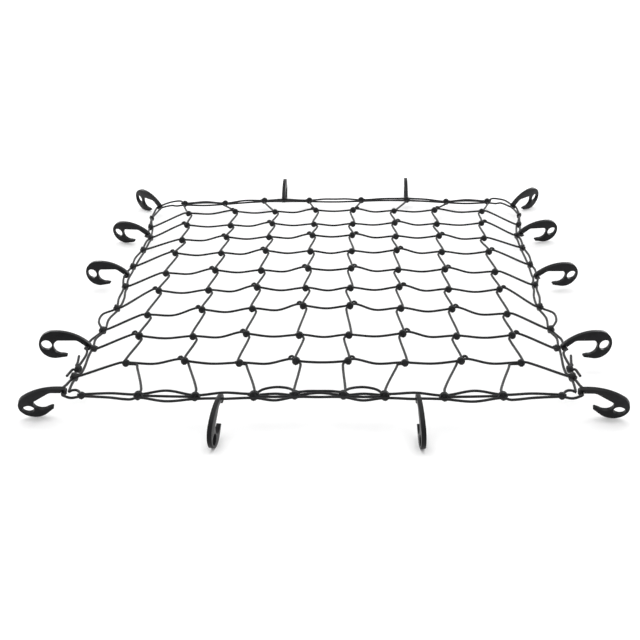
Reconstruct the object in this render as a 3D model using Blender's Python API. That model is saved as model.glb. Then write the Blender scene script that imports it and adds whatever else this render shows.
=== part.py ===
"""Cargo net: elastic cords in a square mesh, a doubled border cord and fourteen moulded hooks.

Metres, +Z up. The cords' left and right halves are alike but for the strand that the back
hooks hang on. Plan sizes are given as x, the distance from the middle line, and s, the
distance back from the front border. The mesh lies in one plane, a little higher at the front,
where the two middle hooks hang steeply: they and the two back hooks stand on the surface at
z = 0.
"""

from math import cos, radians, sin

import bpy
from mathutils import Euler, Vector

NAME = "cargo_net"

# Cords.
CORD_RADIUS = 0.002
CORD_STEP = 0.030            # longest straight run in a cord
END_REST = 0.005             # a mesh cord stops this far from the border strand's middle
CROSSING_LIFT = 0.0022       # rows lie this far above the net's plane, and columns below it

# Hooks, in the hook's own plane: u runs outwards, v upwards, and the cord's eye is at 0, 0.
HOOK_THICKNESS = 0.008
EYE_HOLE_RADIUS = 0.0028
EYE_OUTER_RADIUS = 0.0075
BOW_CENTRE = (0.061, 0.0045)
BOW_RADIUS = 0.028
BOW_FACET_DEG = 18           # the bow's facets are its flat seats
BACK_CENTRE = (0.058, -0.0555)
BACK_RADIUS = 0.088
THROAT_CENTRE = (0.0475, 0.0)
THROAT_RADIUS = 0.015
THROAT_FACET_DEG = 15        # the facet facing the eye is where a rail pulls
HOLE_CENTRE = (0.0752, 0.0042)
HOLE_RADIUS = 0.0102

# How the hooks lie. Their heights follow from the two pairs that stand on the surface.
FRONT_DROOP_DEG = 2 * BOW_FACET_DEG    # whole facets, so that one of them lies flat
FRONT_EYE_S = -0.026
BACK_EYE_S = 1.000
MIDDLE_S = 0.49196           # the origin lies under this line

# A hook is rolled about its own length, drooped, and then turned to its direction in the plan.
HOOKS = [
    # name, x and s of the eye, direction from +x, droop, roll
    ("left_1", -0.4450, -0.0010, 177, 32.0, -20),
    ("left_2", -0.4435, 0.1700, 186, -3.0, 0),
    ("left_3", -0.4434, 0.5120, 174, 3.5, 0),
    ("left_4", -0.4440, 0.7550, 163, 5.0, -8),
    ("left_5", -0.4500, 0.9530, 140, 0.0, -5),
    ("right_1", 0.4450, -0.0010, 2, 32.0, 20),
    ("right_2", 0.4440, 0.1650, 10, 5.0, 0),
    ("right_3", 0.4430, 0.4940, 13, 6.5, 8),
    ("right_4", 0.4430, 0.7465, 17, 5.0, 10),
    ("right_5", 0.4490, 0.9400, 41, 0.0, 8),
    ("front_left", -0.1670, FRONT_EYE_S, 262, FRONT_DROOP_DEG, 0),
    ("front_right", 0.1670, FRONT_EYE_S, 275, FRONT_DROOP_DEG, 0),
    ("back_left", -0.1340, BACK_EYE_S, 90, 0.0, 0),
    ("back_right", 0.1830, BACK_EYE_S, 90, 0.0, 0),
]

# Columns of the mesh, from the side to the middle.
COLUMNS = [
    # x in the mesh, x at the front border, x at the back border, s at the back border
    (0.350, 0.308, 0.386, 0.9685),
    (0.250, 0.213, 0.282, 0.9725),
    (0.149, 0.111, 0.183, 0.9855),
    (0.047, 0.042, 0.056, 0.9855),
]
COLUMN_FRONT_S = -0.0085
ROWS = [
    # s at the outer column, further back in the middle by, x and s at the side border
    (0.106, 0.000, 0.429, 0.047),
    (0.208, 0.010, 0.4275, 0.140),
    (0.309, 0.038, 0.422, 0.233),
    (0.420, 0.020, 0.418, 0.334),
    (0.520, 0.016, 0.424, 0.443),
    (0.628, 0.015, 0.429, 0.552),
    (0.719, 0.018, 0.424, 0.643),
    (0.811, 0.008, 0.4225, 0.721),
    (0.902, 0.010, 0.435, 0.800),
]
KNOT_ZIGZAG = 0.002          # knots lie this far back and forward of their row, by turns

# Border strands. The two strands of a side run from the front tie, round both corners, to
# the back tie, and the front's and the back's own strands join those ties.
FRONT_TIE_X = 0.407
BACK_TIE_X = 0.3866
STRAND_MEETING = 0.0014
EYE_STRAIGHT = 0.008         # half the straight run of a side strand through a hook's eye
EYE_INNER = 0.0115           # the inner strand passes this far inside a side hook's eye
INNER_STRAIGHT = 0.3         # and is straight there for this share of the outer strand's run
SIDE_BORDER = [
    # s, x of the inner strand, x of the outer strand
    (0.047, 0.4290, 0.4345),
    (0.095, 0.4250, 0.4320),
    (0.140, 0.4275, 0.4340),
    (0.233, 0.4220, 0.4280),
    (0.285, 0.4205, 0.4330),
    (0.334, 0.4180, 0.4240),
    (0.390, 0.4210, 0.4290),
    (0.443, 0.4240, 0.4300),
    (0.552, 0.4290, 0.4350),
    (0.600, 0.4255, 0.4330),
    (0.643, 0.4240, 0.4295),
    (0.721, 0.4225, 0.4290),
    (0.800, 0.4340, 0.4420),
    (0.861, 0.4480, 0.4530),
]
FRONT_BORDER = [
    # x, s of the inner strand, s of the outer strand
    (0.345, -0.0095, -0.0215),
    (0.308, -0.0085, -0.0175),
    (0.250, -0.0005, -0.0240),
    (0.213, -0.0085, -0.0175),
    (0.173, -0.0020, -0.0253),
    (0.161, -0.0020, -0.0267),
    (0.111, -0.0085, -0.0175),
    (0.066, -0.0020, -0.0290),
    (0.042, -0.0085, -0.0175),
    (0.000, -0.0030, -0.0190),
]
BACK_BORDER_LEFT = [
    # x, s of the inner strand, s of the outer strand
    (0.334, 0.9590, 0.9880),
    (0.282, 0.9725, 0.9815),
    (0.232, 0.9740, 0.9900),
    (0.183, 0.9855, 0.9945),
    (0.140, 0.9850, 0.9998),
    (0.128, 0.9850, 0.9998),
    (0.065, 0.9855, 0.9945),
    (0.000, 0.9790, 0.9970),
]
BACK_BORDER_RIGHT = [
    # x, s of the inner strand, s of the outer strand
    (0.334, 0.9590, 0.9880),
    (0.282, 0.9725, 0.9815),
    (0.232, 0.9740, 0.9900),
    (0.189, 0.9855, 0.9998),
    (0.177, 0.9855, 0.9998),
    (0.125, 0.9850, 0.9950),
    (0.065, 0.9855, 0.9945),
]
# Third strands lie between the two, on parts of the front and the back.
THIRD_STRANDS = [
    # name, x and s of one end, x and s of the other
    ("border_front_third_left", -0.306, -0.0130, -0.215, -0.0130),
    ("border_front_third_right", 0.215, -0.0130, 0.306, -0.0130),
    ("border_front_third_middle", -0.109, -0.0130, 0.109, -0.0130),
    ("border_back_third_left", -0.384, 0.9732, -0.284, 0.9770),
    ("border_back_third_right", 0.284, 0.9770, 0.384, 0.9732),
]

CORD_COLOUR = (0.018, 0.018, 0.019, 1.0)
HOOK_COLOUR = (0.012, 0.012, 0.013, 1.0)


def clear_scene():
    for item in list(bpy.data.objects):
        bpy.data.objects.remove(item, do_unlink=True)


def make_collection():
    group = bpy.data.collections.new(NAME)
    bpy.context.scene.collection.children.link(group)
    return group


def make_material(name, colour, roughness):
    material = bpy.data.materials.new(name)
    material.use_nodes = True
    shader = material.node_tree.nodes["Principled BSDF"]
    shader.inputs["Base Color"].default_value = colour
    shader.inputs["Roughness"].default_value = roughness
    shader.inputs["Metallic"].default_value = 0.0
    return material


def eye_height(droop_deg):
    """Height of the eye over the surface when the bow's facet at this droop lies flat on it."""
    droop = radians(droop_deg)
    facet = BOW_RADIUS * cos(radians(BOW_FACET_DEG / 2))
    return facet + BOW_CENTRE[0] * sin(droop) - BOW_CENTRE[1] * cos(droop)


def plane_height(s):
    """Height of the net's plane: it falls evenly from the front hooks' eyes to the back ones'."""
    front = eye_height(FRONT_DROOP_DEG)
    back = eye_height(0)
    return back + (front - back) * (BACK_EYE_S - s) / (BACK_EYE_S - FRONT_EYE_S)


def in_net(x, s, lift=0.0):
    return Vector((x, s - MIDDLE_S, plane_height(s) + lift))


def smooth_run(points):
    """Points of a smooth curve through the given ones, at most CORD_STEP apart."""
    count = len(points)
    ahead = [(points[i + 1] - points[i]).length for i in range(count - 1)]
    tangents = []
    for i in range(count):
        first = max(i - 1, 0)
        last = min(i + 1, count - 1)
        tangents.append((points[last] - points[first]) / sum(ahead[first:last]))
    run = []
    for i in range(count - 1):
        steps = max(1, round(ahead[i] / CORD_STEP))
        for k in range(steps):
            t = k / steps
            run.append(
                points[i] * (2 * t**3 - 3 * t**2 + 1)
                + tangents[i] * ahead[i] * (t**3 - 2 * t**2 + t)
                + points[i + 1] * (3 * t**2 - 2 * t**3)
                + tangents[i + 1] * ahead[i] * (t**3 - t**2)
            )
    return run + [points[-1]]


def make_cord(group, name, points, material):
    curve = bpy.data.curves.new(name, "CURVE")
    curve.dimensions = "3D"
    curve.bevel_depth = CORD_RADIUS
    curve.bevel_resolution = 1
    curve.use_fill_caps = True
    run = smooth_run(points)
    spline = curve.splines.new("POLY")
    spline.points.add(len(run) - 1)
    for node, place in zip(spline.points, run):
        node.co = (*place, 1.0)
    curve.materials.append(material)
    cord = bpy.data.objects.new(name, curve)
    group.objects.link(cord)
    return cord


def mirrored(points):
    """The given points, which end at the middle line or short of it, and their mirror images."""
    other = [Vector((-p.x, p.y, p.z)) for p in reversed(points)]
    if abs(points[-1].x) < CORD_RADIUS:
        other = other[1:]
    return points + other


def knot_s(row, column):
    """How far back the knot of this row and column lies; both count from 1 at front and side."""
    outer_s, rise, _, _ = ROWS[row - 1]
    x = COLUMNS[column - 1][0]
    bow = rise * (1 - (x / COLUMNS[0][0]) ** 2)
    turn = KNOT_ZIGZAG if (row + column) % 2 else -KNOT_ZIGZAG
    return outer_s + bow + turn


def make_rows(group, material):
    for row, (_, _, side_x, side_s) in enumerate(ROWS, start=1):
        half = [in_net(-side_x + END_REST, side_s + END_REST / 2, CROSSING_LIFT)]
        for column, places in enumerate(COLUMNS, start=1):
            half.append(in_net(-places[0], knot_s(row, column), CROSSING_LIFT))
        make_cord(group, f"mesh_row_{row}", mirrored(half), material)


def make_columns(group, material):
    for column, (mesh_x, front_x, back_x, back_s) in enumerate(COLUMNS, start=1):
        run = [(front_x, COLUMN_FRONT_S + END_REST)]
        run += [(mesh_x, knot_s(row, column)) for row in range(1, len(ROWS) + 1)]
        run.append((back_x, back_s - END_REST))
        for side, number in ((-1, column), (1, 2 * len(COLUMNS) + 1 - column)):
            points = [in_net(side * x, s, -CROSSING_LIFT) for x, s in run]
            make_cord(group, f"mesh_column_{number}", points, material)


def hook_turn(direction, droop, roll):
    """How a hook stands: rolled about its length, drooped, then turned to its direction."""
    return Euler((radians(90 + roll), radians(droop), radians(direction)))


def eye_run(hook, inset):
    """Straight run of a strand past a side hook's eye: along the eye's hole, or inside it."""
    _, x, s, direction, droop, roll = hook
    eye = in_net(x, s)
    along = hook_turn(direction, droop, roll).to_matrix() @ Vector((0, 0, EYE_STRAIGHT))
    if inset:
        eye -= Vector((cos(radians(direction)), sin(radians(direction)), 0)) * inset
        along = Vector((along.x, along.y, 0.0)) * INNER_STRAIGHT
    return [eye - along, eye, eye + along]


def make_side_borders(group, material):
    for strand, inset, front_s, back_s in (
        ("inner", EYE_INNER, -0.0095, 0.9690),
        ("outer", 0.0, -0.0150, 0.9775),
    ):
        for side, word in ((-1, "left"), (1, "right")):
            run = [in_net(side * row[1 if strand == "inner" else 2], row[0])
                   for row in SIDE_BORDER]
            for hook in HOOKS:
                if hook[0].startswith(word):
                    run += eye_run(hook, inset)
            run.sort(key=lambda place: place.y)
            points = [in_net(side * FRONT_TIE_X, front_s), *run,
                      in_net(side * BACK_TIE_X, back_s)]
            make_cord(group, f"border_{word}_{strand}", points, material)


def make_cross_borders(group, material):
    for word, left, right, tie_x, tie_s in (
        ("front", FRONT_BORDER, FRONT_BORDER[:-1], FRONT_TIE_X, (-0.0095, -0.0150)),
        ("back", BACK_BORDER_LEFT, BACK_BORDER_RIGHT, BACK_TIE_X, (0.9690, 0.9775)),
    ):
        for index, strand in ((1, "inner"), (2, "outer")):
            tie = (tie_x - STRAND_MEETING, tie_s[index - 1])
            points = [in_net(-tie[0], tie[1])]
            points += [in_net(-row[0], row[index]) for row in left]
            points += [in_net(row[0], row[index]) for row in reversed(right)]
            points.append(in_net(*tie))
            make_cord(group, f"border_{word}_{strand}", points, material)


def make_third_strands(group, material):
    for name, x0, s0, x1, s1 in THIRD_STRANDS:
        make_cord(group, name, [in_net(x0, s0), in_net(x1, s1)], material)


def arc(centre, radius, start_deg, end_deg, step_deg):
    """Points of an arc, about step_deg apart, both ends included."""
    steps = max(1, round(abs(end_deg - start_deg) / step_deg))
    turn = radians(end_deg - start_deg) / steps
    start = radians(start_deg)
    return [
        (centre[0] + radius * cos(start + turn * k), centre[1] + radius * sin(start + turn * k))
        for k in range(steps + 1)
    ]


def hook_outline():
    """The hook's outline, clockwise: back, bow, tip, throat, snap slit, eye and its lip."""
    slit = 0.0007
    slit_deg = 15
    outline = arc(BACK_CENTRE, BACK_RADIUS, 134, 92, 6)
    outline += arc(BOW_CENTRE, BOW_RADIUS, 81, -99, BOW_FACET_DEG)
    outline += [(0.046, -0.0225), (0.0397, -0.0190), (0.0383, -0.0168), (0.0396, -0.0152)]
    outline += arc(THROAT_CENTRE, THROAT_RADIUS, -97.5, 67.5, THROAT_FACET_DEG)
    outline += [(0.023, 0.0137), (0.014, 0.0088), (0.0098, 0.0028)]
    outline += arc((0.0, 0.0), EYE_HOLE_RADIUS, slit_deg, 360 - slit_deg, 40)
    outline += [(0.0122, -slit), (0.0124, -0.0024)]
    outline += arc((0.0, 0.0), EYE_OUTER_RADIUS, -50, -210, 27)
    return outline


def hook_curve(material):
    curve = bpy.data.curves.new("hook", "CURVE")
    curve.dimensions = "2D"
    curve.fill_mode = "BOTH"
    curve.extrude = HOOK_THICKNESS / 2
    for points in (hook_outline(), arc(HOLE_CENTRE, HOLE_RADIUS, 0, 336, 24)):
        spline = curve.splines.new("POLY")
        spline.points.add(len(points) - 1)
        for node, (u, v) in zip(spline.points, points):
            node.co = (u, v, 0.0, 1.0)
        spline.use_cyclic_u = True
    curve.materials.append(material)
    return curve


def make_hooks(group, material):
    shape = hook_curve(material)
    for name, x, s, direction, droop, roll in HOOKS:
        hook = bpy.data.objects.new("hook_" + name, shape)
        hook.location = in_net(x, s)
        hook.rotation_euler = hook_turn(direction, droop, roll)
        group.objects.link(hook)


def main():
    clear_scene()
    group = make_collection()
    mesh_cord = make_material("mesh_cord", CORD_COLOUR, 0.85)
    border_cord = make_material("border_cord", CORD_COLOUR, 0.85)
    hook_plastic = make_material("hook_plastic", HOOK_COLOUR, 0.45)
    make_rows(group, mesh_cord)
    make_columns(group, mesh_cord)
    make_side_borders(group, border_cord)
    make_cross_borders(group, border_cord)
    make_third_strands(group, border_cord)
    make_hooks(group, hook_plastic)


main()
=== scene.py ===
"""Cargo net: elastic cord tied in squares, a doubled border cord and moulded hooks.

Plan sizes are x, the distance from the middle line, and s, the distance back from the front
border. The cords' tables give the left half as positive x, and the right half mirrors it.
"""

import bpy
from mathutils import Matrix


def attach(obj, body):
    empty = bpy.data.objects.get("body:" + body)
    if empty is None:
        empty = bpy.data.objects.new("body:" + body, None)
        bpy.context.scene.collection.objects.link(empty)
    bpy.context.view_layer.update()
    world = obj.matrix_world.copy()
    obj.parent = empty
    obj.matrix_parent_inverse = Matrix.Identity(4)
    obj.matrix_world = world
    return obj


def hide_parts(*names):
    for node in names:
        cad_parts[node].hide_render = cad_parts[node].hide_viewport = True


bl_info = {
    "name": "Cargo net",
    "version": (1, 0, 0),
    "blender": (4, 5, 0),
    "location": "View3D > Sidebar > Cargo net",
    "description": "Builds an elastic cargo net with moulded hooks around its packed frame",
    "category": "Add Mesh",
}

from math import cos, pi, radians, sin
from random import Random

import bmesh
import bpy
from bpy.props import FloatProperty, FloatVectorProperty, PointerProperty, StringProperty
from bpy.types import Operator, Panel, PropertyGroup
from mathutils import Euler, Matrix, Vector
from mathutils.geometry import interpolate_bezier

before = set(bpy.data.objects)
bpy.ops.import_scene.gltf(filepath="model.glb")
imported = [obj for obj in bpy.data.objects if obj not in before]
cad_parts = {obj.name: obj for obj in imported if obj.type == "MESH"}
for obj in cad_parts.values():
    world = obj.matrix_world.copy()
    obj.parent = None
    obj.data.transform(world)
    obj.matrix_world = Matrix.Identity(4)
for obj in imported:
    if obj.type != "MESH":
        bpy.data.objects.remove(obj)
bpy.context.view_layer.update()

BODY = "root"
MM = 0.001

# The net's plane falls evenly from the front hooks' eyes to the back hooks' eyes.
MIDDLE_S = 0.49196
FRONT_EYES = (-0.026, 0.05987)       # s, height over the surface
BACK_EYES = (1.000, 0.023155)

COLUMNS = [
    # x in the mesh, x at the front border, x at the back border, s at the back border
    (0.350, 0.308, 0.387, 0.9640),
    (0.250, 0.212, 0.283, 0.9680),
    (0.149, 0.111, 0.183, 0.9900),
    (0.047, 0.042, 0.066, 0.9880),
]
ROWS = [
    # s at the outer column, further back in the middle by, x and s of the side knot, how much
    # further out the outer knot lies, and the row's sag between knots
    (0.106, 0.000, 0.4365, 0.0500, 0.006, 0.0040),
    (0.208, 0.010, 0.4310, 0.1550, 0.004, 0.0060),
    (0.309, 0.034, 0.4290, 0.2373, 0.006, 0.0105),
    (0.420, 0.018, 0.4235, 0.3379, 0.005, 0.0100),
    (0.520, 0.016, 0.4285, 0.4461, 0.006, 0.0080),
    (0.628, 0.015, 0.4355, 0.5557, 0.005, 0.0090),
    (0.719, 0.018, 0.4320, 0.6544, 0.003, 0.0080),
    (0.811, 0.008, 0.4300, 0.7326, 0.007, 0.0065),
    (0.902, 0.010, 0.4425, 0.8035, 0.016, 0.0060),
]
KNOT_ZIGZAG = 0.0040
ROW_REACH = 0.0120           # a row leaves its knot this far to either side
EARED_ROW_ENDS = (0.0045, -0.0035)   # and this far back there: further out, nearer the middle
PLAIN_ROW_ENDS = (-0.0025, 0.0)
EARED_BENDS = (0.0070, -0.0030)      # how far inside its knot a column leaves, front and back
PLAIN_BENDS = (0.0090, -0.0045)
FRONT_BENDS = (0.0230, 0.0095, 0.0150, 0.0090)   # how far inside its front knot a column leaves

HOOKS = [
    # name, x and s of the eye, direction from +x, droop, roll
    ("left_1", -0.4450, -0.0010, 177, 32.0, -20),
    ("left_2", -0.4435, 0.1700, 186, -3.0, 0),
    ("left_3", -0.4434, 0.5120, 174, 3.5, 0),
    ("left_4", -0.4440, 0.7550, 163, 5.0, -8),
    ("left_5", -0.4500, 0.9530, 140, 0.0, -5),
    ("right_1", 0.4450, -0.0010, 2, 32.0, 20),
    ("right_2", 0.4440, 0.1650, 10, 5.0, 0),
    ("right_3", 0.4430, 0.4940, 13, 6.5, 8),
    ("right_4", 0.4430, 0.7465, 17, 5.0, 10),
    ("right_5", 0.4490, 0.9400, 41, 0.0, 8),
    ("front_left", -0.1670, -0.0260, 262, 36.0, 0),
    ("front_right", 0.1670, -0.0260, 275, 36.0, 0),
    ("back_left", -0.1340, 1.0000, 90, 0.0, 0),
    ("back_right", 0.1830, 1.0000, 90, 0.0, 0),
]

# Border strands: x, s and lift over the net's plane in mm. A row that starts with a number
# in quotes is the run past that side hook's eye, so far inside it.
SIDE_OUTER = [
    (0.4075, -0.0180, 0.0), (0.4250, -0.0225, -1.0), (0.4400, -0.0160, 0.0), ("1", 0.0, 0.0),
    (0.4440, 0.0200, 0.5), (0.4410, 0.0371, 0.0), (0.4385, 0.0500, -1.5), (0.4410, 0.0773, -0.5),
    (0.4375, 0.1118, 0.5), (0.4375, 0.1400, 0.0), ("2", 0.0, 0.0), (0.4425, 0.1949, 0.0),
    (0.4325, 0.2373, -1.5), (0.4461, 0.2730, 1.0), (0.4461, 0.3074, 1.0), (0.4275, 0.3379, -1.5),
    (0.4308, 0.3843, 0.0), (0.4313, 0.4250, 0.0), (0.4350, 0.4461, -1.5), (0.4425, 0.4830, 0.0),
    ("3", 0.0, 0.0), (0.4425, 0.5290, 0.0), (0.4400, 0.5557, -1.5), (0.4412, 0.6030, 0.5),
    (0.4365, 0.6544, -1.5), (0.4360, 0.7050, 0.0), (0.4340, 0.7326, -1.0), ("4", 0.0, 0.0),
    (0.4475, 0.8035, -1.5), (0.4500, 0.8350, 1.5), (0.4545, 0.8672, 0.0), (0.4555, 0.9050, -1.0),
    ("5", 0.0, 0.0),
]
SIDE_INNER = [
    (0.4087, -0.0130, 0.0), (0.4200, 0.0010, 0.5), (0.4290, 0.0010, 0.5), ("1", 0.0115, 0.0),
    (0.4351, 0.0291, 0.0), (0.4330, 0.0500, -1.5), (0.4286, 0.0640, 0.0), (0.4280, 0.0876, 0.5),
    (0.4310, 0.1255, 0.0), ("2", 0.0115, 0.0), (0.4345, 0.1986, 0.5), (0.4265, 0.2373, -1.5),
    (0.4290, 0.2850, 0.0), (0.4205, 0.3379, -1.5), (0.4197, 0.3842, 0.0), (0.4245, 0.4181, 0.5),
    (0.4260, 0.4461, -1.5), (0.4315, 0.4750, 0.0), ("3", 0.0115, 0.0),
    (0.4325, 0.5557, -1.5), (0.4308, 0.5976, 0.0), (0.4290, 0.6544, -1.5), (0.4281, 0.7000, 0.5),
    (0.4270, 0.7326, -1.5), ("4", 0.0115, 0.0), (0.4395, 0.8035, -1.5),
    (0.4480, 0.8350, -1.5), (0.4520, 0.8672, 0.0), (0.4480, 0.9000, 1.0), ("5", 0.0115, 0.0),
]
FRONT_UPPER = [
    (0.4087, -0.0130, 0.5), (0.3600, -0.0090, 0.5), (0.3110, -0.0105, -1.0),
    (0.2640, -0.0007, 1.0), (0.2120, -0.0130, -1.0), (0.1640, -0.0058, 0.0),
    (0.1115, -0.0075, -1.0), (0.0970, 0.0040, 1.0), (0.0760, 0.0110, 1.5), (0.0550, 0.0060, 2.5),
    (0.0440, -0.0050, 4.0), (0.0400, -0.0110, 4.5), (0.0200, -0.0030, 1.5), (0.0000, -0.0010, 0.5),
]
FRONT_LOWER = [
    (0.4075, -0.0180, 0.0), (0.3600, -0.0225, 0.0), (0.3220, -0.0300, 0.5),
    (0.3085, -0.0210, -1.0), (0.2583, -0.0360, 0.5), (0.2105, -0.0255, -1.0),
    (0.1730, -0.0253, 0.0), (0.1610, -0.0267, 0.0), (0.1105, -0.0220, -1.0),
    (0.0740, -0.0325, 0.5), (0.0410, -0.0190, -1.0), (0.0000, -0.0205, 0.0),
]
FRONT_MIDDLES = [
    [(0.3100, -0.0160, 0.0), (0.2616, -0.0185, 0.0), (0.2115, -0.0200, 0.0)],
    [(0.1110, -0.0145, 0.0), (0.0756, -0.0085, -0.5), (0.0415, -0.0140, 0.0),
     (0.0000, -0.0065, 0.0)],
    [(0.1110, -0.0180, 0.0), (0.0748, -0.0200, 0.0), (0.0415, -0.0165, 0.0)],
]
BACK_UPPER_LEFT = [
    ("5", 0.0, 0.0), (0.4320, 0.9800, 0.0), (0.4170, 0.9900, 0.5), (0.4020, 0.9930, 0.5),
    (0.3870, 0.9800, -1.0), (0.3350, 0.9850, 0.5), (0.2830, 0.9780, -1.0), (0.2330, 0.9930, 0.5),
    (0.1835, 0.9960, -1.0), (0.1420, 0.9998, 0.0), (0.1280, 0.9998, 0.0), (0.0670, 0.9950, -1.0),
    (0.0300, 0.9990, 0.5), (0.0000, 0.9985, 0.5),
]
BACK_UPPER_RIGHT = [
    ("5", 0.0, 0.0), (0.4320, 0.9800, 0.0), (0.4170, 0.9900, 0.5), (0.4020, 0.9930, 0.5),
    (0.3870, 0.9800, -1.0), (0.3350, 0.9850, 0.5), (0.2830, 0.9780, -1.0), (0.2330, 0.9910, 0.5),
    (0.1900, 0.9998, 0.0), (0.1760, 0.9998, 0.0), (0.1250, 0.9990, 0.5), (0.0670, 0.9950, -1.0),
    (0.0300, 0.9990, 0.5), (0.0000, 0.9985, 0.5),
]
BACK_LOWER = [
    ("5", 0.0115, 0.0), (0.4200, 0.9600, 0.0), (0.4060, 0.9560, 0.0), (0.3870, 0.9650, -1.0),
    (0.3326, 0.9580, 0.0), (0.2825, 0.9690, -1.0), (0.2319, 0.9770, 0.0), (0.1830, 0.9870, -1.0),
    (0.1250, 0.9860, 0.0), (0.0665, 0.9850, -1.0), (0.0000, 0.9780, 0.0),
]
BACK_MIDDLE = [(0.3870, 0.9720, 0.0), (0.3340, 0.9785, 0.0), (0.2830, 0.9735, 0.0)]

EYE_STRAIGHT = 0.0075        # half the straight run of an outer strand through a hook's eye
INNER_STRAIGHT = 0.3         # an inner strand is straight there for this share of that run

# Where the border is knotted: x, s, turn in the plane, size.
BORDER_KNOTS = [
    (0.4080, -0.0155, 0, 0.85), (0.3100, -0.0155, 0, 1.15), (0.2115, -0.0185, 0, 1.15),
    (0.1110, -0.0150, 0, 1.30), (0.0410, -0.0125, 0, 1.15),
    (0.4375, 0.0500, 80, 1.20), (0.4290, 0.1600, 75, 0.95), (0.4300, 0.2373, 75, 1.15),
    (0.4245, 0.3379, 75, 1.15), (0.4305, 0.4461, 80, 1.10), (0.4365, 0.5557, 85, 1.15),
    (0.4330, 0.6544, 80, 1.15), (0.4310, 0.7326, 90, 1.10), (0.4440, 0.8035, 95, 1.25),
    (0.4535, 0.8672, 100, 0.95),
    (0.3870, 0.9725, 0, 1.15), (0.2830, 0.9735, 0, 1.10), (0.1832, 0.9920, 0, 1.15),
    (0.0668, 0.9900, 0, 1.15),
]
TIE_END_FRONT = [(0.4500, 0.0480, 3.0), (0.4485, 0.0600, 2.5), (0.4450, 0.0725, 3.0)]
TIE_END_BACK = [(0.4425, 0.0850, 3.0), (0.4436, 0.0980, 2.5), (0.4475, 0.1240, 3.0)]
TIE_AT = (0.4385, 0.0780)

# The loop that stands up beside an eared knot, in mm: across, back, up.
EAR = [(-12.0, 3.0, 1.5), (-12.5, 7.0, 3.0), (-8.5, 9.5, 4.5), (-5.5, 6.5, 5.0), (-4.5, 3.5, 3.0)]
KNOT_START = (-7.5, -0.5, 1.5)
KNOT_END = (7.5, -2.5, 1.5)
KNOT_TURNS = [
    # along, turns, radius and half length in mm
    ("across", 2.25, 3.7, 4.2),
    ("back", 1.75, 4.9, 3.0),
]
TURN_POINTS = 8              # points in one turn


def linear(code):
    """An sRGB hex colour as the linear values that shaders take."""
    parts = [int(code[i:i + 2], 16) / 255 for i in (1, 3, 5)]
    return [p / 12.92 if p <= 0.04045 else ((p + 0.055) / 1.055) ** 2.4 for p in parts] + [1.0]


def plane_height(s):
    slope = (FRONT_EYES[1] - BACK_EYES[1]) / (BACK_EYES[0] - FRONT_EYES[0])
    return BACK_EYES[1] + slope * (BACK_EYES[0] - s)


def in_net(x, s, lift=0.0):
    return Vector((x, s - MIDDLE_S, plane_height(s) + lift))


def knot_place(row, column):
    """x and s of a knot on the left half. Rows and columns count from 0."""
    outer_s, rise, _, _, further_out, _ = ROWS[row]
    x = COLUMNS[column][0]
    bow = rise * (1 - (x / COLUMNS[0][0]) ** 2)
    turn = KNOT_ZIGZAG if is_eared(row, column) else -KNOT_ZIGZAG
    return x + (0.0 if column else further_out), outer_s + bow + turn


def is_eared(row, column):
    return (row + column) % 2 == 1


def smooth_run(points, step):
    """A smooth curve through the points, cut in even steps."""
    count = len(points)
    dense = []
    tangents = []
    for i in range(count):
        before = points[max(i - 1, 0)]
        after = points[min(i + 1, count - 1)]
        span = (points[i] - before).length + (after - points[i]).length
        tangents.append((after - before) / span)
    for i in range(count - 1):
        a, b = points[i], points[i + 1]
        reach = (b - a).length / 3
        bends = max(3, round((b - a).length / (step / 2)))
        part = interpolate_bezier(a, a + tangents[i] * reach, b - tangents[i + 1] * reach, b,
                                  bends + 1)
        dense += [Vector(p) for p in (part if i == count - 2 else part[:-1])]
    lengths = [0.0]
    for a, b in zip(dense, dense[1:]):
        lengths.append(lengths[-1] + (b - a).length)
    steps = max(2, round(lengths[-1] / step))
    run, k = [], 0
    for n in range(steps + 1):
        want = lengths[-1] * n / steps
        while k < len(dense) - 2 and lengths[k + 1] < want:
            k += 1
        share = (want - lengths[k]) / max(lengths[k + 1] - lengths[k], 1e-9)
        run.append(dense[k].lerp(dense[k + 1], min(max(share, 0.0), 1.0)))
    return run, lengths[-1]


def flipped(points):
    return [Vector((-p.x, p.y, p.z)) for p in points]


def both_halves(left):
    """A run that starts on the left and ends on the middle line, with its mirror image."""
    other = flipped(reversed(left))
    return left + other[1:]


def make_cord(name, runs, replaced, material):
    """Cords as tubes in one mesh. Its map holds turns round a cord and metres along it."""
    sizes = bpy.context.scene.net_sizes
    curve = bpy.data.curves.new(name, "CURVE")
    curve.dimensions = "3D"
    curve.bevel_depth = sizes.cord_diameter / 2
    curve.bevel_resolution = 2
    curve.use_fill_caps = True
    total = 0.0
    for points in runs:
        run, length = smooth_run(points, sizes.cord_step)
        total += length
        spline = curve.splines.new("POLY")
        spline.points.add(len(run) - 1)
        for node, place in zip(spline.points, run):
            node.co = (*place, 1.0)
    holder = bpy.data.objects.new(name + "_line", curve)
    bpy.context.scene.collection.objects.link(holder)
    graph = bpy.context.evaluated_depsgraph_get()
    mesh = bpy.data.meshes.new_from_object(holder.evaluated_get(graph))
    bpy.data.objects.remove(holder)
    bpy.data.curves.remove(curve)
    mesh.name = name
    for corner in mesh.uv_layers[0].data:
        corner.uv = (corner.uv[0], corner.uv[1] * total / len(runs))
    mesh.shade_smooth()
    mesh.materials.clear()
    mesh.materials.append(material)
    piece = bpy.data.objects.new(name, mesh)
    bpy.context.scene.collection.objects.link(piece)
    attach(piece, BODY)
    if replaced:
        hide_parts(*replaced)
    return piece


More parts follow.
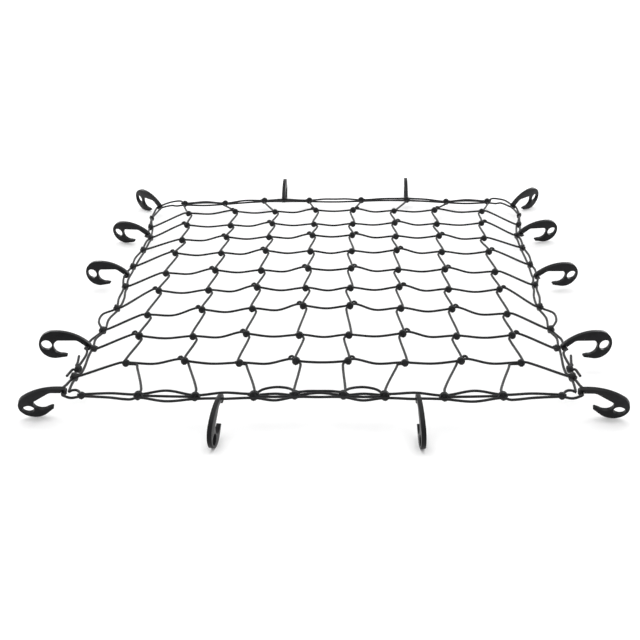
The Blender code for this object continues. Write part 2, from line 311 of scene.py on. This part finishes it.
def add_node(tree, kind, settings=None, links=None):
    """A shader node with its settings, and the outputs that feed its inputs."""
    node = tree.nodes.new(kind)
    for key, value in (settings or {}).items():
        if isinstance(key, str) and hasattr(node, key):
            setattr(node, key, value)
        else:
            node.inputs[key].default_value = value
    for key, source in (links or {}).items():
        tree.links.new(source, node.inputs[key])
    return node


def new_material(name):
    material = bpy.data.materials.get(name)
    if material:
        return material, None, None
    material = bpy.data.materials.new(name)
    material.use_nodes = True
    tree = material.node_tree
    return material, tree, tree.nodes["Principled BSDF"]


def braided_elastic_cord():
    """Bungee cord: a rubber core in a braided polyester sleeve, woven tight. Black yarn with a
    dull sheen along the top of each cord, and a fine diamond braid whose grooves between the yarns
    are painted darker as shade."""
    material, tree, shader = new_material("braided_polyester_bungee_cord")
    if tree is None:
        return material
    looks = bpy.context.scene.net_finishes
    carriers = 8.0                    # yarns that run one way round the cord
    lay = 6.0 * MM                    # length in which a yarn turns once round, drawn coarse
    place = add_node(tree, "ShaderNodeUVMap", {"uv_map": "UVMap"})
    split = add_node(tree, "ShaderNodeSeparateXYZ", links={0: place.outputs["UV"]})
    turns = add_node(tree, "ShaderNodeMath", {"operation": "MULTIPLY", 1: 2 * pi * carriers / 2},
                     {0: split.outputs["X"]})
    along = add_node(tree, "ShaderNodeMath", {"operation": "MULTIPLY", 1: 2 * pi / lay},
                     {0: split.outputs["Y"]})
    waves = []
    for way in ("ADD", "SUBTRACT"):
        angle = add_node(tree, "ShaderNodeMath", {"operation": way},
                         {0: turns.outputs[0], 1: along.outputs[0]})
        waves.append(add_node(tree, "ShaderNodeMath", {"operation": "SINE"},
                              {0: angle.outputs[0]}))
    braid = add_node(tree, "ShaderNodeMath", {"operation": "MULTIPLY"},
                     {0: waves[0].outputs[0], 1: waves[1].outputs[0]})
    where = add_node(tree, "ShaderNodeTexCoord")
    fuzz = add_node(tree, "ShaderNodeTexNoise", {"Scale": 1 / (14 * MM), "Detail": 3.0},
                    {"Vector": where.outputs["Object"]})
    # Painted shade: the ramp darkens the grooves between the braid's yarns and lightens their
    # crests, with a faint random mottle from the noise.
    mix = add_node(tree, "ShaderNodeMath", {"operation": "MULTIPLY_ADD", 1: 0.16},
                   {0: braid.outputs[0], 2: fuzz.outputs["Fac"]})
    ramp = add_node(tree, "ShaderNodeValToRGB", links={"Fac": mix.outputs[0]})
    ramp.color_ramp.elements[0].position = 0.30
    ramp.color_ramp.elements[1].position = 0.75
    ramp.color_ramp.elements[0].color = linear(looks.yarn_painted_groove_shade)
    ramp.color_ramp.elements[1].color = linear(looks.yarn_light)
    tree.links.new(ramp.outputs["Color"], shader.inputs["Base Color"])
    relief = add_node(tree, "ShaderNodeBump", {"Strength": 0.45, "Distance": 0.25 * MM},
                      {"Height": braid.outputs[0]})
    tree.links.new(relief.outputs["Normal"], shader.inputs["Normal"])
    shader.inputs["Roughness"].default_value = 0.52
    shader.inputs["IOR"].default_value = 1.50
    shader.inputs["Specular IOR Level"].default_value = 0.22
    shader.inputs["Sheen Weight"].default_value = 0.04
    shader.inputs["Sheen Roughness"].default_value = 0.45
    return material


def moulded_hook_plastic():
    """Injection-moulded black polypropylene: even black with a satin skin, a little mottled
    where it cooled, and a fine grain from the mould."""
    material, tree, shader = new_material("moulded_black_polypropylene")
    if tree is None:
        return material
    looks = bpy.context.scene.net_finishes
    where = add_node(tree, "ShaderNodeTexCoord")
    mottle = add_node(tree, "ShaderNodeTexNoise", {"Scale": 1 / (9 * MM), "Detail": 4.0},
                      {"Vector": where.outputs["Object"]})
    ramp = add_node(tree, "ShaderNodeValToRGB", links={"Fac": mottle.outputs["Fac"]})
    ramp.color_ramp.elements[0].position = 0.35
    ramp.color_ramp.elements[1].position = 0.72
    ramp.color_ramp.elements[0].color = linear(looks.plastic_dark)
    ramp.color_ramp.elements[1].color = linear(looks.plastic_light)
    tree.links.new(ramp.outputs["Color"], shader.inputs["Base Color"])
    gloss = add_node(tree, "ShaderNodeMapRange", {"To Min": 0.30, "To Max": 0.46},
                     {"Value": mottle.outputs["Fac"]})
    tree.links.new(gloss.outputs["Result"], shader.inputs["Roughness"])
    grain = add_node(tree, "ShaderNodeTexNoise", {"Scale": 1 / (0.7 * MM), "Detail": 2.0},
                     {"Vector": where.outputs["Object"]})
    relief = add_node(tree, "ShaderNodeBump", {"Strength": 0.12, "Distance": 0.08 * MM},
                      {"Height": grain.outputs["Fac"]})
    tree.links.new(relief.outputs["Normal"], shader.inputs["Normal"])
    shader.inputs["IOR"].default_value = 1.49
    shader.inputs["Specular IOR Level"].default_value = 0.16
    return material


def matt_white_board():
    """White board with a matt face: even, and without gloss."""
    material, tree, shader = new_material("matt_white_board")
    if tree is None:
        return material
    looks = bpy.context.scene.net_finishes
    shader.inputs["Base Color"].default_value = linear(looks.floor)
    shader.inputs["Roughness"].default_value = 0.9
    return material


class NetSizes(PropertyGroup):
    cord_diameter: FloatProperty(
        name="Cord diameter", description="Thickness of every cord", default=0.0048,
        subtype="DISTANCE", unit="LENGTH")
    cord_step: FloatProperty(
        name="Cord step", description="Length of one straight piece of a cord", default=0.0028,
        subtype="DISTANCE", unit="LENGTH")
    knot_turn: FloatProperty(
        name="Knot turn", description="Most a knot is turned from its row", default=radians(9),
        subtype="ANGLE", unit="ROTATION")
    hook_thickness: FloatProperty(
        name="Hook thickness", description="Width of a hook across its flat sides",
        default=0.008, subtype="DISTANCE", unit="LENGTH")
    rim: FloatProperty(
        name="Hook rim", description="Rounding of a hook's edges", default=0.0013,
        subtype="DISTANCE", unit="LENGTH")


class NetFinishes(PropertyGroup):
    # The dark yarn colour is painted shade, laid in the grooves between the yarns.
    yarn_painted_groove_shade: StringProperty(
        name="Yarn, dark", description="Cord between the yarns, sRGB hex", default="#09090a")
    yarn_light: StringProperty(
        name="Yarn, light", description="Cord on top of the yarns, sRGB hex", default="#1c1d1f")
    plastic_dark: StringProperty(
        name="Plastic, dark", description="Hook plastic, sRGB hex", default="#08080a")
    plastic_light: StringProperty(
        name="Plastic, light", description="Hook plastic where it is paler, sRGB hex",
        default="#111214")
    floor: StringProperty(
        name="Floor", description="Colour of the surface, sRGB hex", default="#f4f4f4")
    light_size: FloatVectorProperty(
        name="Top light", description="Width and depth of the top light", size=2,
        default=(3.2, 2.6), subtype="XYZ", unit="LENGTH")


def knot_table(eared):
    """The turns of one knot in mm: round the cord that runs across, then round the other."""
    table = list(EAR) if eared else [KNOT_START]
    for along, turns, radius, half in KNOT_TURNS:
        count = round(turns * TURN_POINTS)
        for k in range(count + 1):
            angle = 2 * pi * k / TURN_POINTS
            place = half * (2 * k / count - 1)
            side, high = radius * cos(angle), radius * sin(angle)
            table.append((place, side, high) if along == "across" else (side, -place, high))
    return table + [KNOT_END]


def knot_run(table, x, s, size=1.0, turn=0.0, mirror=False):
    """The turns of one knot, placed in the net's plane."""
    centre = in_net(x, s)
    slope = (in_net(x, s + 0.01) - in_net(x, s)).normalized()
    up = Vector((1, 0, 0)).cross(slope)
    run = []
    for across, back, high in table:
        a, b = across * cos(turn) - back * sin(turn), across * sin(turn) + back * cos(turn)
        run.append(centre + (Vector((a, 0, 0)) + slope * b + up * high) * size * MM)
    return flipped(run) if mirror else run


class NET_OT_rows(Operator):
    """Cords that run across the net, from one side border to the other"""
    bl_idname = "cargo_net.rows"
    bl_label = "Mesh rows"

    def execute(self, context):
        material = braided_elastic_cord()
        for row, (_, _, side_x, side_s, _, sag) in enumerate(ROWS):
            half = [in_net(-side_x - 0.001, side_s - 0.002, 1.0 * MM),
                    in_net(-side_x + 0.009, side_s + 0.0005, 2.0 * MM)]
            for column in range(len(COLUMNS)):
                x, s = knot_place(row, column)
                outer, inner = EARED_ROW_ENDS if is_eared(row, column) else PLAIN_ROW_ENDS
                half += [in_net(-x - ROW_REACH, s + outer, 1.5 * MM), in_net(-x, s, 1.5 * MM),
                         in_net(-x + ROW_REACH, s + inner, 0.5 * MM)]
                if column < len(COLUMNS) - 1:
                    next_x, next_s = knot_place(row, column + 1)
                    half.append(in_net(-(x + next_x) / 2, (s + next_s) / 2 - sag, -1.5 * MM))
            half.append(in_net(0.0, s - sag, -1.0 * MM))
            run = both_halves(half)
            name = f"mesh_row_{row + 1}"
            make_cord("cord_" + name, [run], [name], material)
        return {"FINISHED"}


class NET_OT_columns(Operator):
    """Cords that run from the front border to the back border"""
    bl_idname = "cargo_net.columns"
    bl_label = "Mesh columns"

    def execute(self, context):
        material = braided_elastic_cord()
        for column, (_, front_x, back_x, back_s) in enumerate(COLUMNS):
            half = [in_net(-front_x - 0.0020, -0.0130, -1.0 * MM),
                    in_net(-front_x - 0.0020, 0.0100, -1.5 * MM)]
            for row in range(len(ROWS)):
                x, s = knot_place(row, column)
                below, above = EARED_BENDS if is_eared(row, column) else PLAIN_BENDS
                if row == 0:
                    below = FRONT_BENDS[column]
                half += [in_net(-x + below, s - 0.0130, -1.5 * MM),
                         in_net(-x + below - 0.0030, s - 0.0040, -1.0 * MM),
                         in_net(-x, s, -1.5 * MM),
                         in_net(-x + above, s + 0.0100, -1.0 * MM)]
            half += [in_net(-back_x, back_s - 0.006, -1.5 * MM), in_net(-back_x, back_s, -1.0 * MM)]
            for run, number in ((half, column + 1), (flipped(half), 2 * len(COLUMNS) - column)):
                name = f"mesh_column_{number}"
                make_cord("cord_" + name, [run], [name], material)
        return {"FINISHED"}


class NET_OT_knots(Operator):
    """The knots that tie the rows to the columns and the mesh to the border"""
    bl_idname = "cargo_net.knots"
    bl_label = "Knots"

    def execute(self, context):
        material = braided_elastic_cord()
        most = context.scene.net_sizes.knot_turn
        chance = Random(7)
        mesh_knots, border_knots = [], []
        for row in range(len(ROWS)):
            for column in range(len(COLUMNS)):
                x, s = knot_place(row, column)
                table = knot_table(is_eared(row, column))
                for mirror in (False, True):
                    turn = chance.uniform(-most, most)
                    size = chance.uniform(0.92, 1.06)
                    mesh_knots.append(knot_run(table, -x, s, size, turn, mirror))
        for x, s, turn, size in BORDER_KNOTS:
            for mirror in (False, True):
                turned = radians(turn) + chance.uniform(-most, most)
                border_knots.append(knot_run(knot_table(False), -x, s, size, turned, mirror))
        make_cord("knots_of_mesh", mesh_knots, [], material)
        make_cord("knots_of_border", border_knots, [], material)
        return {"FINISHED"}


def hook_turn(direction, droop, roll):
    """How a hook stands: rolled about its length, drooped, then turned to its direction."""
    return Euler((radians(90 + roll), radians(droop), radians(direction))).to_matrix().to_4x4()


def eye_run(name, inset):
    """Run of a strand past a side hook's eye: along the eye's hole, or so far inside it."""
    _, x, s, direction, droop, roll = next(row for row in HOOKS if row[0] == name)
    eye = in_net(x, s)
    along = hook_turn(direction, droop, roll).to_3x3() @ Vector((0, 0, EYE_STRAIGHT))
    if inset:
        eye -= Vector((cos(radians(direction)), sin(radians(direction)), 0)) * inset
        along = Vector((along.x, along.y, 0.0)) * INNER_STRAIGHT
    run = [eye - along, eye, eye + along]
    return run if along.y > 0 else run[::-1]


def strand(table, side="left"):
    """A border strand on one half, from its table."""
    sign = -1 if side == "left" else 1
    run = []
    for a, b, lift in table:
        if isinstance(a, str):
            run += eye_run(f"{side}_{a}", b)
        else:
            run.append(in_net(sign * a, b, lift * MM))
    return run


def joined_halves(left_table, right_table):
    """A border strand from the left side to the right. Both tables end on the middle line."""
    return strand(left_table) + strand(right_table, "right")[-2::-1]


class NET_OT_border(Operator):
    """The border cord: two strands all round, with a third on parts of the front and back"""
    bl_idname = "cargo_net.border"
    bl_label = "Border"

    def execute(self, context):
        material = braided_elastic_cord()
        for side in ("left", "right"):
            for word, table in (("outer", SIDE_OUTER), ("inner", SIDE_INNER)):
                name = f"border_{side}_{word}"
                make_cord("cord_" + name, [strand(table, side)], [name], material)
        for name, left, right in (
            ("border_front_inner", FRONT_UPPER, FRONT_UPPER),
            ("border_front_outer", FRONT_LOWER, FRONT_LOWER),
            ("border_back_outer", BACK_UPPER_LEFT, BACK_UPPER_RIGHT),
            ("border_back_inner", BACK_LOWER, BACK_LOWER),
        ):
            run = joined_halves(left, right)
            make_cord("cord_" + name, [run], [name], material)
        outer, upper, lower = [strand(table) for table in FRONT_MIDDLES]
        make_cord("cord_border_front_thirds", [outer, flipped(outer)],
                  ["border_front_third_left", "border_front_third_right"], material)
        make_cord("cord_border_front_middle", [both_halves(upper), lower, flipped(lower)],
                  ["border_front_third_middle"], material)
        back = strand(BACK_MIDDLE)
        make_cord("cord_border_back_thirds", [back, flipped(back)],
                  ["border_back_third_left", "border_back_third_right"], material)
        return {"FINISHED"}


class NET_OT_ties(Operator):
    """The tied ends of the border cord, one near each front corner"""
    bl_idname = "cargo_net.ties"
    bl_label = "Tied ends"

    def execute(self, context):
        material = braided_elastic_cord()
        x, s = TIE_AT
        turns = knot_run(knot_table(False), -x, s, 0.95, radians(75))
        left = strand(TIE_END_FRONT) + turns + strand(TIE_END_BACK)
        make_cord("tie_left", [left], [], material)
        make_cord("tie_right", [flipped(left)], [], material)
        return {"FINISHED"}


def chain_arc(mesh, centre, radius, start, end, steps):
    """An arc of edges spun from one vertex. Its first and last vertex."""
    angle = radians(start)
    first = mesh.verts.new((centre[0] + radius * cos(angle), centre[1] + radius * sin(angle), 0))
    spun = bmesh.ops.spin(mesh, geom=[first], cent=(*centre, 0), axis=(0, 0, 1),
                          angle=radians(end - start), steps=steps, use_duplicate=False)
    last = next(item for item in spun["geom_last"] if isinstance(item, bmesh.types.BMVert))
    return first, last


# The hook's outline, from its back round the bow to the tip, the throat and the eye.
HOOK_ARCS = [
    # centre u, centre v, radius, from, to, steps
    (0.0580, -0.0555, 0.0880, 134, 92, 14),
    (0.0610, 0.0045, 0.0280, 84, -99, 30),
    (0.0400, -0.0186, 0.0022, -120, -250, 5),
    (0.0475, 0.0000, 0.0150, -95, 66, 22),
    (0.0230, 0.0000, 0.0137, 84, 122, 4),
    (0.0000, 0.0000, 0.0031, 16, 344, 14),
    (0.0000, 0.0000, 0.0078, -30, -212, 12),
]
HOLE = (0.0752, 0.0042, 0.0102)      # centre u, centre v, radius
RIM_ANGLE = 1.2              # radians: edges that turn more than this are rims
SHARP_DEG = 38


def hook_shape():
    """One moulded hook in its own plane, its eye at the origin, with rounded rims."""
    sizes = bpy.context.scene.net_sizes
    mesh = bmesh.new()
    ends = [chain_arc(mesh, row[:2], *row[2:]) for row in HOOK_ARCS]
    for (_, last), (first, _) in zip(ends, ends[1:] + ends[:1]):
        mesh.edges.new((last, first))
    bmesh.ops.create_circle(mesh, segments=32, radius=HOLE[2],
                            matrix=Matrix.Translation((HOLE[0], HOLE[1], 0)))
    bmesh.ops.triangle_fill(mesh, use_beauty=True, edges=mesh.edges[:], normal=(0, 0, 1))
    bmesh.ops.translate(mesh, verts=mesh.verts[:], vec=(0, 0, -sizes.hook_thickness / 2))
    raised = bmesh.ops.extrude_face_region(mesh, geom=mesh.faces[:])["geom"]
    bmesh.ops.translate(mesh, vec=(0, 0, sizes.hook_thickness),
                        verts=[v for v in raised if isinstance(v, bmesh.types.BMVert)])
    bmesh.ops.recalc_face_normals(mesh, faces=mesh.faces[:])
    rims = [e for e in mesh.edges if len(e.link_faces) == 2 and e.calc_face_angle() > RIM_ANGLE
            and abs(e.verts[0].co.z - e.verts[1].co.z) < 1e-6]
    bmesh.ops.bevel(mesh, geom=rims, offset=sizes.rim, offset_type="OFFSET", segments=3,
                    profile=0.5, affect="EDGES", material=-1, clamp_overlap=True)
    return mesh


class NET_OT_hooks(Operator):
    """The fourteen moulded hooks, each on the border's outer strand"""
    bl_idname = "cargo_net.hooks"
    bl_label = "Hooks"

    def execute(self, context):
        material = moulded_hook_plastic()
        shape = hook_shape()
        for name, x, s, direction, droop, roll in HOOKS:
            one = shape.copy()
            place = Matrix.Translation(in_net(x, s)) @ hook_turn(direction, droop, roll)
            bmesh.ops.transform(one, matrix=place, verts=one.verts[:])
            mesh = bpy.data.meshes.new("moulded_hook_" + name)
            one.to_mesh(mesh)
            one.free()
            mesh.shade_smooth()
            mesh.set_sharp_from_angle(angle=radians(SHARP_DEG))
            mesh.materials.append(material)
            hook = bpy.data.objects.new("moulded_hook_" + name, mesh)
            context.scene.collection.objects.link(hook)
            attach(hook, BODY)
            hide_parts("hook_" + name)
        shape.free()
        return {"FINISHED"}


def area_light(name, place, target, size, power):
    lamp = bpy.data.lights.new(name, "AREA")
    lamp.shape = "RECTANGLE"
    lamp.size, lamp.size_y = size
    lamp.energy = power
    light = bpy.data.objects.new(name, lamp)
    light.location = place
    light.rotation_euler = (Vector(target) - Vector(place)).to_track_quat("-Z", "Y").to_euler()
    bpy.context.scene.collection.objects.link(light)


CAMERA_PLACE = (0.0826, -1.9933, 0.9863)
CAMERA_PITCH, CAMERA_YAW, CAMERA_ROLL = 27.722, 2.992, -1.536   # degrees
CAMERA_LENS = 57.94
FLOOR_REACH = 30.0
TOP_LIGHT_POWER = 40
BACK_LIGHT_PLACE = (2.6, 4.0, 1.2)   # and the same to the left
BACK_LIGHT_SIZE = (2.4, 1.8)
BACK_LIGHT_POWER = 70


class NET_OT_stage(Operator):
    """The floor, the lights and the camera"""
    bl_idname = "cargo_net.stage"
    bl_label = "Stage"

    def execute(self, context):
        scene = context.scene
        board = bmesh.new()
        bmesh.ops.create_grid(board, x_segments=1, y_segments=1, size=FLOOR_REACH)
        mesh = bpy.data.meshes.new("floor")
        board.to_mesh(mesh)
        board.free()
        mesh.materials.append(matt_white_board())
        floor = bpy.data.objects.new("floor", mesh)
        scene.collection.objects.link(floor)
        world = bpy.data.worlds.new("soft_room")
        world.use_nodes = True
        sky = world.node_tree.nodes["Background"]
        sky.inputs["Color"].default_value = linear("#ffffff")
        sky.inputs["Strength"].default_value = 1.0
        scene.world = world
        scene.view_settings.view_transform = "Standard"
        area_light("top_light", (0.0, 0.3, 3.0), (0, 0, 0),
                   scene.net_finishes.light_size, TOP_LIGHT_POWER)
        across, back, up = BACK_LIGHT_PLACE
        for side in (-1, 1):
            area_light("back_light", (across * side, back, up), (0, 0.1, 0), BACK_LIGHT_SIZE,
                       BACK_LIGHT_POWER)
        camera = bpy.data.objects.new("camera", bpy.data.cameras.new("camera"))
        camera.data.lens = CAMERA_LENS
        camera.data.sensor_width = 36.0
        aim = (Matrix.Rotation(radians(CAMERA_YAW), 4, "Z")
               @ Matrix.Rotation(radians(90 - CAMERA_PITCH), 4, "X")
               @ Matrix.Rotation(radians(CAMERA_ROLL), 4, "Z"))
        camera.matrix_world = Matrix.Translation(CAMERA_PLACE) @ aim
        scene.collection.objects.link(camera)
        scene.camera = camera
        return {"FINISHED"}


class NET_PT_panel(Panel):
    """Sizes, finishes and build steps of the cargo net"""
    bl_idname = "NET_PT_panel"
    bl_label = "Cargo net"
    bl_space_type = "VIEW_3D"
    bl_region_type = "UI"
    bl_category = "Cargo net"

    def draw(self, context):
        for group in (context.scene.net_sizes, context.scene.net_finishes):
            for name in group.__annotations__:
                self.layout.prop(group, name)
        for operator in OPERATORS:
            self.layout.operator(operator.bl_idname)


OPERATORS = (NET_OT_stage, NET_OT_rows, NET_OT_columns, NET_OT_border, NET_OT_knots,
             NET_OT_ties, NET_OT_hooks)
CLASSES = (NetSizes, NetFinishes, *OPERATORS, NET_PT_panel)


def register():
    for item in CLASSES:
        bpy.utils.register_class(item)
    bpy.types.Scene.net_sizes = PointerProperty(type=NetSizes)
    bpy.types.Scene.net_finishes = PointerProperty(type=NetFinishes)


def unregister():
    del bpy.types.Scene.net_finishes
    del bpy.types.Scene.net_sizes
    for item in reversed(CLASSES):
        bpy.utils.unregister_class(item)


def main():
    register()
    bpy.ops.cargo_net.stage()
    bpy.ops.cargo_net.rows()
    bpy.ops.cargo_net.columns()
    bpy.ops.cargo_net.border()
    bpy.ops.cargo_net.knots()
    bpy.ops.cargo_net.ties()
    bpy.ops.cargo_net.hooks()


if __name__ == "__main__":
    main()
